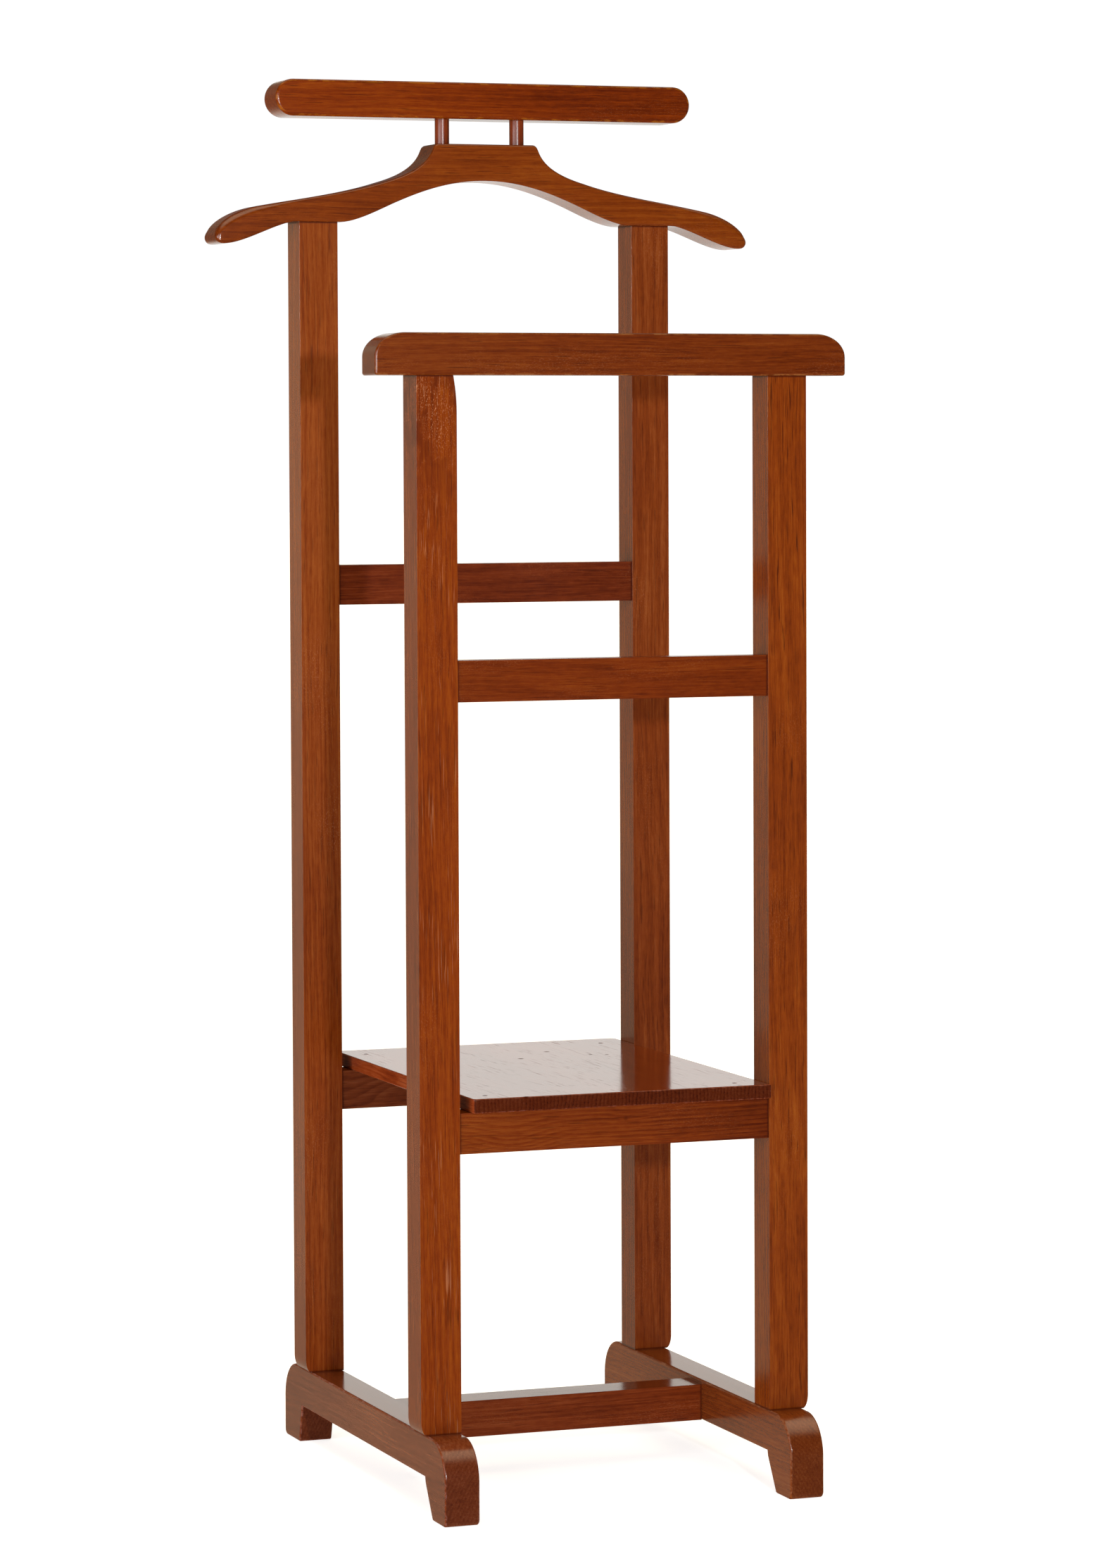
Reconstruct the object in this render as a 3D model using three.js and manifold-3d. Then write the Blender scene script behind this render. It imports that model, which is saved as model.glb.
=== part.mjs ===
// Wooden valet stand: two arched feet joined by a stretcher, a low front frame with a rounded
// top rail, a taller rear frame carrying a coat-hanger shaped yoke and a round-ended trouser bar
// on two pegs, and a shelf board nailed on the aprons.
// Millimetres. X to the right, Y to the back (the front faces -Y), Z up from the floor.
import * as THREE from 'three';
import { mergeVertices } from 'three/examples/jsm/utils/BufferGeometryUtils.js';
import Module from 'manifold-3d';

const wasm = await Module();
wasm.setup();

// ---- driving dimensions -------------------------------------------------------------------
const post = {
  width: 32,          // along X
  depth: 31,          // along Y
  outerX: 158,        // outer faces of the left and right posts
  outerY: 160,        // front face of the front posts, back face of the rear posts
  frontTop: 860,
  rearTop: 986.5,
  edge: 1.2,          // rounding of the long edges
  footCurveHigh: 11,  // the outer face curves in to the foot over this height
  topRound: 1.8,
};
const foot = {
  height: 62,
  width: 27.5,
  halfLength: 201.5,
  archHeight: 30,
  archFront: -153.5,  // ends of the flat underside of the arch
  archRear: 154.5,
  heelFront: -171,    // inner edge of each leg where it meets the floor
  heelRear: 162.5,
  shoulder: 30,       // large rounding on top of each end
  toe: 5,             // rounding at the floor
  edge: 1.6,
};
const stretcher = { depth: 31, bottom: 30, top: 58.5, centreY: -2.5, edge: 1.2 };
const rail = {
  thickness: 19,
  apronThickness: 26, // the aprons carry the shelf
  setback: 1.5,       // behind the front faces of the posts
  edge: 1.4,
  apronBottom: 273.5,
  apronTop: 304.5,
  frontMidBottom: 614.5,
  frontMidTop: 646,
  rearMidBottom: 680,
  rearMidTop: 712,
};
const shelf = {
  left: -117,
  thickness: 11,
  front: -164.5,
  rear: 174.5,
  frontCorner: 3,     // only the free left corner
  rearCorner: 7,
  edge: 1.2,
};
const topRail = {
  halfLength: 190.5,
  height: 32,
  front: -161,
  depth: 32.5,
  endCurveLong: 24,   // the upper corners are quarter ellipses
  endCurveHigh: 18,
  lowerCorner: 2,
  edge: 1.6,
};
const yoke = {
  front: 127.5,
  depth: 36,
  plateauHalf: 43,
  plateauTop: 1050.5,
  tipX: 227.5,
  tipRound: 4,        // rounding of the tips seen from above
  edge: 2.2,
};
const bar = { halfLength: 177, bottom: 1070.5, top: 1100, front: 127.5, depth: 34, edge: 2.2 };
const peg = { radius: 5.9, offsetX: 32, intoYoke: 16, intoBar: 14 };
const railDowel = { radius: 4, half: 15, spread: 8 };
const footDowel = { radius: 4, half: 18, spread: 7 };
const stretcherDowel = { radius: 4, intoFoot: 13, intoBar: 18, spread: 7 };
const capDowel = { radius: 5, intoPost: 20, intoCap: 12 };
const nail = {
  headRadius: 1.7,
  headThickness: 1.4,
  shankRadius: 0.9,
  length: 32,
  below: 0.3,
  inset: 13,          // from the front face of the apron
};
const clearance = 0.3;  // between a fixed pin and its hole, all round
const roundSides = 16;

const postInnerX = post.outerX - post.width;
const postInnerY = post.outerY - post.depth;
const postMidX = post.outerX - post.width / 2;
const postMidY = post.outerY - post.depth / 2;
const footOuterX = postInnerX + foot.width;
const footMidX = postInnerX + foot.width / 2;
const shelfTop = rail.apronTop + shelf.thickness;
const frontRailY = -post.outerY + rail.setback;    // front faces of the front rail and apron
const rearRailY = postInnerY + rail.setback;       // front faces of the rear rail and apron

// ---- wood colours -------------------------------------------------------------------------
const finishes = {
  frame: { color: 0x7a3414, roughness: 0.3 },
  cap: { color: 0x7d3310, roughness: 0.3 },
  board: { color: 0x6f2f16, roughness: 0.25 },
  dowel: { color: 0xc9a36b, roughness: 0.8 },
  steel: { color: 0x6b5a50, roughness: 0.45, metalness: 0.9 },
};

// ---- solids -------------------------------------------------------------------------------
const X = new THREE.Vector3(1, 0, 0);
const Y = new THREE.Vector3(0, 1, 0);
const Z = new THREE.Vector3(0, 0, 1);

function toManifold(geometry) {
  const bare = new THREE.BufferGeometry();
  bare.setAttribute('position', geometry.getAttribute('position').clone());
  if (geometry.index) bare.setIndex(geometry.index.clone());
  const merged = mergeVertices(bare, 1e-4);
  const mesh = new wasm.Mesh({
    numProp: 3,
    vertProperties: new Float32Array(merged.getAttribute('position').array),
    triVerts: new Uint32Array(merged.index.array),
  });
  return new wasm.Manifold(mesh);
}

function toGeometry(solid) {
  const mesh = solid.getMesh();
  const geometry = new THREE.BufferGeometry();
  const positions = new THREE.BufferAttribute(new Float32Array(mesh.vertProperties), 3);
  geometry.setAttribute('position', positions);
  geometry.setIndex(new THREE.BufferAttribute(new Uint32Array(mesh.triVerts), 1));
  geometry.computeVertexNormals();
  return geometry;
}

// Extrudes an outline along one axis, from one coordinate to another. The outline is drawn in
// (Y, Z) for an X extrusion, in (X, Z) for Y and in (X, Y) for Z. The ease rounds the rims.
function extrude(axis, outline, from, to, { ease = 0, easeSteps = 2, curve = 8 } = {}) {
  const geometry = new THREE.ExtrudeGeometry(outline, {
    depth: to - from - 2 * ease,
    steps: 1,
    curveSegments: curve,
    bevelEnabled: ease > 0,
    bevelThickness: ease,
    bevelSize: ease,
    bevelOffset: -ease,
    bevelSegments: easeSteps,
  });
  geometry.translate(0, 0, ease);
  const turn = new THREE.Matrix4();
  if (axis === 'X') turn.makeBasis(Y, Z, X).setPosition(from, 0, 0);
  if (axis === 'Y') turn.makeBasis(X, Z, Y.clone().negate()).setPosition(0, to, 0);
  if (axis === 'Z') turn.setPosition(0, 0, from);
  geometry.applyMatrix4(turn);
  return toManifold(geometry);
}

function roundedRectangle(left, right, low, high, radius) {
  const shape = new THREE.Shape();
  shape.absarc(right - radius, low + radius, radius, -Math.PI / 2, 0);
  shape.absarc(right - radius, high - radius, radius, 0, Math.PI / 2);
  shape.absarc(left + radius, high - radius, radius, Math.PI / 2, Math.PI);
  shape.absarc(left + radius, low + radius, radius, Math.PI, 1.5 * Math.PI);
  return shape;
}

// A round pin along one axis, centred on the two other coordinates.
function pin(axis, centre, radius, from, to) {
  const geometry = new THREE.CylinderGeometry(radius, radius, to - from, roundSides);
  const middle = (from + to) / 2;
  if (axis === 'X') {
    geometry.rotateZ(-Math.PI / 2);
    geometry.translate(middle, centre[0], centre[1]);
  }
  if (axis === 'Z') {
    geometry.rotateX(Math.PI / 2);
    geometry.translate(centre[0], centre[1], middle);
  }
  return toManifold(geometry);
}

// ---- the assembly -------------------------------------------------------------------------
const group = new THREE.Group();
group.name = 'wooden_valet_stand';
const woods = new Map();
const holes = [];  // every hole, with the pieces it is cut in

function wood(name, solid, finish) {
  woods.set(name, { solid, finish });
}

// Adds a pin as its own piece and cuts a slightly larger hole for it in the named pieces.
function addPin(name, axis, centre, radius, from, to, pieces, finish = 'dowel') {
  wood(name, pin(axis, centre, radius, from, to), finish);
  const hole = pin(axis, centre, radius + clearance, from - clearance, to + clearance);
  holes.push({ hole, pieces });
}

// Feet: an arched beam with rounded shoulders, drawn from the side.
function footOutline() {
  const end = foot.halfLength;
  const low = foot.height - foot.shoulder;
  const outline = new THREE.Shape();
  outline.moveTo(foot.heelFront, 0);
  outline.lineTo(foot.archFront - 1, foot.archHeight - 4);
  outline.lineTo(foot.archFront, foot.archHeight);
  outline.lineTo(foot.archRear, foot.archHeight);
  outline.lineTo(foot.heelRear, 0);
  outline.lineTo(end - foot.toe, 0);
  outline.absarc(end - foot.toe, foot.toe, foot.toe, -Math.PI / 2, 0);
  outline.absarc(end - foot.shoulder, low, foot.shoulder, 0, Math.PI / 2);
  outline.absarc(-end + foot.shoulder, low, foot.shoulder, Math.PI / 2, Math.PI);
  outline.absarc(-end + foot.toe, foot.toe, foot.toe, Math.PI, 1.5 * Math.PI);
  outline.closePath();
  return outline;
}

const footSolid = extrude('X', footOutline(), postInnerX, footOuterX, { ease: foot.edge });
wood('right_foot', footSolid, 'frame');
wood('left_foot', footSolid.mirror([1, 0, 0]), 'frame');

const stretcherSection = roundedRectangle(
  stretcher.centreY - stretcher.depth / 2,
  stretcher.centreY + stretcher.depth / 2,
  stretcher.bottom,
  stretcher.top,
  stretcher.edge,
);
const stretcherSolid = extrude('X', stretcherSection, -postInnerX, postInnerX, { curve: 2 });
wood('foot_stretcher', stretcherSolid, 'frame');

// Posts: a rectangular section with eased edges. Seen from the front, the outer face curves in
// at the bottom to the width of the foot. "shave" narrows the inner face at the top.
function postSolid(top, midY, shave) {
  const section = roundedRectangle(
    postInnerX, post.outerX, midY - post.depth / 2, midY + post.depth / 2, post.edge,
  );
  const curveX = post.outerX - footOuterX;
  const outline = new THREE.Shape();
  outline.moveTo(postInnerX, foot.height);
  outline.lineTo(footOuterX, foot.height);
  outline.absellipse(
    footOuterX, foot.height + post.footCurveHigh, curveX, post.footCurveHigh, -Math.PI / 2, 0,
  );
  outline.lineTo(post.outerX, top - post.topRound);
  outline.lineTo(post.outerX - post.topRound * 0.6, top);
  outline.lineTo(postInnerX + shave.wide, top);
  outline.lineTo(postInnerX, top - shave.high);
  outline.closePath();
  const front = extrude('Y', outline, midY - post.depth, midY + post.depth, { curve: 5 });
  return extrude('Z', section, foot.height, top, { curve: 3 }).intersect(front);
}

const smallShave = { wide: post.topRound * 0.6, high: post.topRound };
const wornShave = { wide: 2.6, high: 26 };
const left = (solid) => solid.mirror([1, 0, 0]);
wood('front_right_post', postSolid(post.frontTop, -postMidY, smallShave), 'frame');
wood('front_left_post', left(postSolid(post.frontTop, -postMidY, wornShave)), 'frame');
wood('rear_right_post', postSolid(post.rearTop, postMidY, smallShave), 'frame');
wood('rear_left_post', left(postSolid(post.rearTop, postMidY, smallShave)), 'frame');

// Rails and aprons: straight bars between the inner faces of the posts.
function railSolid(frontY, thickness, bottom, top) {
  const section = roundedRectangle(frontY, frontY + thickness, bottom, top, rail.edge);
  return extrude('X', section, -postInnerX, postInnerX, { curve: 3 });
}

const apron = { low: rail.apronBottom, high: rail.apronTop, thickness: rail.apronThickness };
const frontMid = { low: rail.frontMidBottom, high: rail.frontMidTop, thickness: rail.thickness };
const rearMid = { low: rail.rearMidBottom, high: rail.rearMidTop, thickness: rail.thickness };
const rails = [
  { name: 'front_apron', side: 'front', y: frontRailY, ...apron },
  { name: 'rear_apron', side: 'rear', y: rearRailY, ...apron },
  { name: 'front_mid_rail', side: 'front', y: frontRailY, ...frontMid },
  { name: 'rear_mid_rail', side: 'rear', y: rearRailY, ...rearMid },
];
for (const { name, side, y, low, high, thickness } of rails) {
  wood(name, railSolid(y, thickness, low, high), 'frame');
  for (const [hand, sign] of [['left', -1], ['right', 1]]) {
    for (const [level, up] of [['lower', -1], ['upper', 1]]) {
      const centre = [y + thickness / 2, (low + high) / 2 + up * railDowel.spread];
      const middle = sign * postInnerX;
      addPin(
        `${name}_dowel_${hand}_${level}`, 'X', centre, railDowel.radius,
        middle - railDowel.half, middle + railDowel.half, [name, `${side}_${hand}_post`],
      );
    }
  }
}

// Shelf: one board lying on the aprons, against the right posts and clear of the left ones.
const shelfOutline = new THREE.Shape();
shelfOutline.absarc(
  shelf.left + shelf.frontCorner, shelf.front + shelf.frontCorner, shelf.frontCorner,
  Math.PI, 1.5 * Math.PI,
);
shelfOutline.lineTo(postInnerX, shelf.front);
shelfOutline.absarc(
  postInnerX - shelf.rearCorner, shelf.rear - shelf.rearCorner, shelf.rearCorner, 0, Math.PI / 2,
);
shelfOutline.absarc(
  shelf.left + shelf.rearCorner, shelf.rear - shelf.rearCorner, shelf.rearCorner,
  Math.PI / 2, Math.PI,
);
shelfOutline.closePath();
const shelfSolid = extrude('Z', shelfOutline, rail.apronTop, shelfTop, { ease: shelf.edge, curve: 5 });
wood('shelf_board', shelfSolid, 'board');

// Front top rail: rounded upper corners, overhanging the front posts.
const topRailTop = post.frontTop + topRail.height;
const railCurveX = topRail.halfLength - topRail.endCurveLong;
const railCurveZ = topRailTop - topRail.endCurveHigh;
const lowerX = topRail.halfLength - topRail.lowerCorner;
const lowerZ = post.frontTop + topRail.lowerCorner;
const topRailOutline = new THREE.Shape();
topRailOutline.absarc(lowerX, lowerZ, topRail.lowerCorner, -Math.PI / 2, 0);
topRailOutline.absellipse(
  railCurveX, railCurveZ, topRail.endCurveLong, topRail.endCurveHigh, 0, Math.PI / 2,
);
topRailOutline.absellipse(
  -railCurveX, railCurveZ, topRail.endCurveLong, topRail.endCurveHigh, Math.PI / 2, Math.PI,
);
topRailOutline.absarc(-lowerX, lowerZ, topRail.lowerCorner, Math.PI, 1.5 * Math.PI);
const topRailSolid = extrude(
  'Y', topRailOutline, topRail.front, topRail.front + topRail.depth, { ease: topRail.edge },
);
wood('front_top_rail', topRailSolid, 'cap');

// Hanger yoke: a flat middle, hollow flanks, sloping shoulders and hooked round tips, with an
// arched underside between two flat seats for the rear posts. One side runs from the crown of
// the arch out to the tip and back over the top; the other side is its mirror image.
const seatZ = post.rearTop;
const yokeSide = [
  { to: [79, 1001.8], by: [[32, 1021], [58, 1010.8]] },
  { to: [121, seatZ], by: [[92, 996], [108, 988]] },
  { to: [163, seatZ] },
  { to: [221, 968.5], by: [[180, 983.5], [205, 968.2]] },
  { to: [yoke.tipX, 975], by: [[225, 968.6], [yoke.tipX, 970.5]] },
  { to: [191, 998.6], by: [[yoke.tipX - 1.5, 986], [208, 995.2]] },
  { to: [84, 1020], by: [[155, 1005.5], [115, 1010]] },
  { to: [yoke.plateauHalf, yoke.plateauTop], by: [[58, 1027.5], [47, 1037.5]] },
];
const crown = [0, 1021];

function addCurve(shape, flip, { to, by }) {
  if (!by) {
    shape.lineTo(flip * to[0], to[1]);
    return;
  }
  const [first, second] = by;
  shape.bezierCurveTo(flip * first[0], first[1], flip * second[0], second[1], flip * to[0], to[1]);
}

const yokeOutline = new THREE.Shape();
yokeOutline.moveTo(...crown);
for (const piece of yokeSide) addCurve(yokeOutline, 1, piece);
yokeOutline.lineTo(-yoke.plateauHalf, yoke.plateauTop);
for (let i = yokeSide.length - 1; i >= 0; i -= 1) {
  const start = i > 0 ? yokeSide[i - 1].to : crown;
  const { by } = yokeSide[i];
  addCurve(yokeOutline, -1, { to: start, by: by ? [by[1], by[0]] : null });
}
const yokeRear = yoke.front + yoke.depth;
const yokePlan = roundedRectangle(-yoke.tipX, yoke.tipX, yoke.front, yokeRear, yoke.tipRound);
const yokeSolid = extrude('Y', yokeOutline, yoke.front, yokeRear, { ease: yoke.edge, curve: 7 })
  .intersect(extrude('Z', yokePlan, seatZ - 50, yoke.plateauTop + 10, { curve: 5 }));
wood('hanger_yoke', yokeSolid, 'cap');

// Trouser bar: fully rounded ends.
const barRadius = (bar.top - bar.bottom) / 2;
const barOutline = new THREE.Shape();
const barMidZ = (bar.top + bar.bottom) / 2;
barOutline.absarc(bar.halfLength - barRadius, barMidZ, barRadius, -Math.PI / 2, Math.PI / 2);
barOutline.absarc(-bar.halfLength + barRadius, barMidZ, barRadius, Math.PI / 2, 1.5 * Math.PI);
barOutline.closePath();
const barSolid = extrude('Y', barOutline, bar.front, bar.front + bar.depth, { ease: bar.edge });
wood('trouser_bar', barSolid, 'cap');

// Pegs, dowels and nails.
for (const [hand, sign] of [['left', -1], ['right', 1]]) {
  addPin(
    `bar_peg_${hand}`, 'Z', [sign * peg.offsetX, postMidY], peg.radius,
    yoke.plateauTop - peg.intoYoke, bar.bottom + peg.intoBar, ['hanger_yoke', 'trouser_bar'], 'cap',
  );
  addPin(
    `front_top_rail_dowel_${hand}`, 'Z', [sign * postMidX, -postMidY], capDowel.radius,
    post.frontTop - capDowel.intoPost, post.frontTop + capDowel.intoCap,
    ['front_top_rail', `front_${hand}_post`],
  );
  addPin(
    `hanger_yoke_dowel_${hand}`, 'Z', [sign * postMidX, postMidY], capDowel.radius,
    post.rearTop - capDowel.intoPost, post.rearTop + capDowel.intoCap,
    ['hanger_yoke', `rear_${hand}_post`],
  );
  for (const [end, back] of [['front', -1], ['rear', 1]]) {
    for (const [place, along] of [['fore', -1], ['aft', 1]]) {
      const centre = [sign * footMidX, back * postMidY + along * footDowel.spread];
      addPin(
        `${end}_${hand}_post_dowel_${place}`, 'Z', centre, footDowel.radius,
        foot.height - footDowel.half, foot.height + footDowel.half,
        [`${hand}_foot`, `${end}_${hand}_post`],
      );
    }
  }
  for (const [place, along] of [['fore', -1], ['aft', 1]]) {
    const centre = [
      stretcher.centreY + along * stretcherDowel.spread,
      (stretcher.bottom + stretcher.top) / 2,
    ];
    const inside = sign * (postInnerX - stretcherDowel.intoBar);
    const outside = sign * (postInnerX + stretcherDowel.intoFoot);
    addPin(
      `stretcher_dowel_${hand}_${place}`, 'X', centre, stretcherDowel.radius,
      Math.min(inside, outside), Math.max(inside, outside), ['foot_stretcher', `${hand}_foot`],
    );
  }
}

// Shelf nails: flat heads just below the surface, driven into the aprons.
function nailSolid(x, y, grow) {
  const top = shelfTop - nail.below;
  const profile = [
    [0, top - nail.length - grow],
    [nail.shankRadius + grow, top - nail.length - grow],
    [nail.shankRadius + grow, top - nail.headThickness - grow],
    [nail.headRadius + grow, top - nail.headThickness - grow],
    [nail.headRadius + grow, top + (grow ? 5 : 0)],
    [0, top + (grow ? 5 : 0)],
  ].map(([r, z]) => new THREE.Vector2(r, z));
  const geometry = new THREE.LatheGeometry(profile, 12);
  geometry.rotateX(Math.PI / 2);
  geometry.translate(x, y, 0);
  return toManifold(geometry);
}

const nailPlaces = [
  { name: 'front_left', x: -101, y: frontRailY + nail.inset, into: 'front_apron' },
  { name: 'front_right', x: 103, y: frontRailY + nail.inset, into: 'front_apron' },
  { name: 'rear_left', x: -101, y: rearRailY + nail.inset, into: 'rear_apron' },
  { name: 'rear_right', x: 102, y: rearRailY + nail.inset, into: 'rear_apron' },
];
for (const { name, x, y, into } of nailPlaces) {
  wood(`shelf_nail_${name}`, nailSolid(x, y, 0), 'steel');
  holes.push({ hole: nailSolid(x, y, clearance), pieces: ['shelf_board', into] });
}

for (const { hole, pieces } of holes) {
  for (const piece of pieces) {
    const entry = woods.get(piece);
    entry.solid = entry.solid.subtract(hole);
  }
}

for (const [name, { solid, finish }] of woods) {
  const { color, roughness, metalness = 0 } = finishes[finish];
  const material = new THREE.MeshStandardMaterial({ color, roughness, metalness });
  material.name = finish;
  const mesh = new THREE.Mesh(toGeometry(solid), material);
  mesh.name = name;
  group.add(mesh);
}

export default group;
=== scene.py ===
import math
import random
from dataclasses import dataclass

import bmesh
import bpy
from mathutils import Matrix, Vector


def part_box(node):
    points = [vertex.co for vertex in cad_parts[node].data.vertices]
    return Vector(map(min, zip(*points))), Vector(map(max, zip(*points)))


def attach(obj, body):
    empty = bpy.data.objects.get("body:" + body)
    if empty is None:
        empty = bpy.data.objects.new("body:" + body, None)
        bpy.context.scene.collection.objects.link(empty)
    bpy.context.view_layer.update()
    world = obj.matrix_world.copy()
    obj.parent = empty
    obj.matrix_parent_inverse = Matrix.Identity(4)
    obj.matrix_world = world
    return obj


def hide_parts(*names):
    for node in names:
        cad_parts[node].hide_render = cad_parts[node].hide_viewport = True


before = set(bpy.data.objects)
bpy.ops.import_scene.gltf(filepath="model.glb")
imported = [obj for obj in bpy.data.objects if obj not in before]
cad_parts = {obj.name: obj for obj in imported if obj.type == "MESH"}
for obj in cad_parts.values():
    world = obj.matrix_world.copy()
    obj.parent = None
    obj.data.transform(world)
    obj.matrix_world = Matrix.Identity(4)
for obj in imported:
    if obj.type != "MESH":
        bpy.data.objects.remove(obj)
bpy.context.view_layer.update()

boxes = {name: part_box(name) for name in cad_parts}

# ---- driving dimensions: places and overall sizes are read from the frame -----------------
MM = 0.001
SHARP = math.radians(28)  # edges between faces that turn more than this are rounded
CLOSE = 0.1 * MM  # points this near to a face lie on it

# Radius of the rounded edges.
FOOT_EASE = 1.6 * MM
STRETCHER_EASE = 1.2 * MM
RAIL_EASE = 1.4 * MM
POST_EASE = 1.0 * MM
TOP_RAIL_EASE = 1.6 * MM
TROUSER_BAR_EASE = 2.2 * MM
SHELF_EASE = 1.2 * MM

# Feet: the arch under the beam, and the rounded ends.
ARCH_HEIGHT = 30 * MM
ARCH_FRONT = -153.5 * MM
ARCH_REAR = 154.5 * MM
ARCH_BEND = (1 * MM, 4 * MM)  # a small bend at the top of the arch's front end
HEEL_FRONT = -171 * MM
HEEL_REAR = 162.5 * MM
SHOULDER_RADIUS = 30 * MM
TOE_RADIUS = 5 * MM

# Posts: the curve in to the foot, and the wood worn off one top.
FOOT_CURVE_HEIGHT = 11 * MM
SHAVE_WIDTH = 2.6 * MM
SHAVE_LENGTH = 28 * MM

# Front top rail and pegs.
RAIL_SHOULDER = (24 * MM, 18 * MM)
RAIL_CORNER = 2 * MM
PEG_CHAMFER = 0.8 * MM

# Hanger yoke: the top of the arch, the flat middle, the neck below it, and how the section gets
# rounder outwards.
YOKE_CREST = 1021 * MM
PLATEAU_END = 40 * MM
NECK_TOP = 43 * MM
NECK_FOOT = 84 * MM
UPPER_RADIUS = (2.4 * MM, 7.0 * MM)
LOWER_RADIUS = (1.8 * MM, 2.4 * MM)
ROUNDER_FROM = 150 * MM
ROUNDER_OVER = 70 * MM
TIP_ROUND = 4 * MM
NOSE_HEIGHT = 975 * MM

# Shelf and nails.
SHELF_REAR_CORNER = 7 * MM
SHELF_FRONT_CORNER = 3 * MM
HOLE_GAP = 0.3 * MM
HOLE_DEPTH = 2.4 * MM
SHANK_RADIUS = 0.9 * MM
NAIL_POINT = (1.5 * MM, 4 * MM)
HEAD_UNDERSIDE = (1.4 * MM, 1.2 * MM)
HEAD_CROWN = 0.25 * MM


# ---- shapes -------------------------------------------------------------------------------
def arc(centre, radii, start, end, steps=14):
    """Points on an ellipse, angles in degrees."""
    points = []
    for i in range(steps + 1):
        turn = math.radians(start + (end - start) * i / steps)
        points.append((centre[0] + radii[0] * math.cos(turn), centre[1] + radii[1] * math.sin(turn)))
    return points


def bezier(p0, p1, p2, p3, steps=14):
    """Points on a cubic curve, without its first one."""
    points = []
    for i in range(1, steps + 1):
        t = i / steps
        weights = ((1 - t) ** 3, 3 * t * (1 - t) ** 2, 3 * t * t * (1 - t), t ** 3)
        points.append(tuple(
            sum(w * p[k] for w, p in zip(weights, (p0, p1, p2, p3))) for k in (0, 1)
        ))
    return points


def place(axis, a, b, along):
    """The outline is drawn in (Y, Z) for an X extrusion, in (X, Z) for Y and in (X, Y) for Z."""
    if axis == "X":
        return (along, a, b)
    if axis == "Y":
        return (a, along, b)
    return (a, b, along)


def new_object(name, mesh):
    obj = bpy.data.objects.new(name, mesh)
    bpy.context.scene.collection.objects.link(obj)
    return obj


def object_from(build, name):
    """Turns a finished bmesh into an object."""
    mesh = bpy.data.meshes.new(name)
    build.to_mesh(mesh)
    build.free()
    return new_object(name, mesh)


def apply_modifiers(obj):
    graph = bpy.context.evaluated_depsgraph_get()
    mesh = bpy.data.meshes.new_from_object(obj.evaluated_get(graph))
    obj.modifiers.clear()
    old = obj.data
    obj.data = mesh
    bpy.data.meshes.remove(old)


def mark_edges(obj):
    """Turns the faces that the bevel made (slot 1) into an attribute for the edge wear and the painted edge
    highlight, highest along their middle.
    """
    mesh = obj.data
    flat = [False] * len(mesh.vertices)
    rounded = [False] * len(mesh.vertices)
    for face in mesh.polygons:
        target = rounded if face.material_index == 1 else flat
        for v in face.vertices:
            target[v] = True
        face.material_index = 0
    wear = mesh.attributes.new("worn_edge_and_highlight", "FLOAT", "POINT")
    for i, (f, r) in enumerate(zip(flat, rounded)):
        wear.data[i].value = 1.0 if r and not f else 0.0


def smooth(obj, angle=35):
    """Smooth shading that keeps the flat faces flat up to their rounded edges."""
    mesh = obj.data
    for face in mesh.polygons:
        face.use_smooth = True
    mesh.set_sharp_from_angle(angle=math.radians(angle))
    even = obj.modifiers.new("even_normals", "WEIGHTED_NORMAL")
    even.weight = 100
    even.keep_sharp = True
    apply_modifiers(obj)


def round_edges(obj, width, segments, cut):
    """Rounds every marked edge, then cuts the holes, if any."""
    bevel = obj.modifiers.new("ease", "BEVEL")
    bevel.width = width
    bevel.segments = segments
    bevel.limit_method = "WEIGHT"
    bevel.material = 1
    bevel.use_clamp_overlap = True
    for _ in range(2):
        obj.data.materials.append(None)
    if cut:
        hole = obj.modifiers.new("holes", "BOOLEAN")
        hole.operation = "DIFFERENCE"
        hole.solver = "EXACT"
        hole.object = cut
    apply_modifiers(obj)
    mark_edges(obj)
    obj.data.materials.clear()
    smooth(obj)
    if cut:
        bpy.data.objects.remove(cut)


def prism(name, outline, axis, low, high, ease, segments=4, cut=None, butt=None):
    """An outline extruded along one axis, with its sharp edges rounded, apart from those that lie
    at a butt joint: butt tells whether a point is in one."""
    build = bmesh.new()
    ends = []
    for along in (low, high):
        ends.append([build.verts.new(place(axis, a, b, along)) for a, b in outline])
    build.faces.new(reversed(ends[0]))
    build.faces.new(ends[1])
    count = len(outline)
    for i in range(count):
        j = (i + 1) % count
        build.faces.new((ends[0][i], ends[0][j], ends[1][j], ends[1][i]))
    bmesh.ops.recalc_face_normals(build, faces=build.faces)
    weights = build.edges.layers.float.new("bevel_weight_edge")
    for edge in build.edges:
        joined = butt and all(butt(v.co) for v in edge.verts)
        if edge.calc_face_angle() > SHARP and not joined:
            edge[weights] = 1.0
    obj = object_from(build, name)
    round_edges(obj, ease, segments, cut)
    return obj


def circle_of_vertices(build, radius, height, centre, sides):
    """A ring of vertices about a vertical axis, or a single one on it."""
    if radius == 0:
        return [build.verts.new((centre[0], centre[1], height))]
    ring = []
    for i in range(sides):
        turn = 2 * math.pi * i / sides
        x = centre[0] + radius * math.cos(turn)
        y = centre[1] + radius * math.sin(turn)
        ring.append(build.verts.new((x, y, height)))
    return ring


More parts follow.
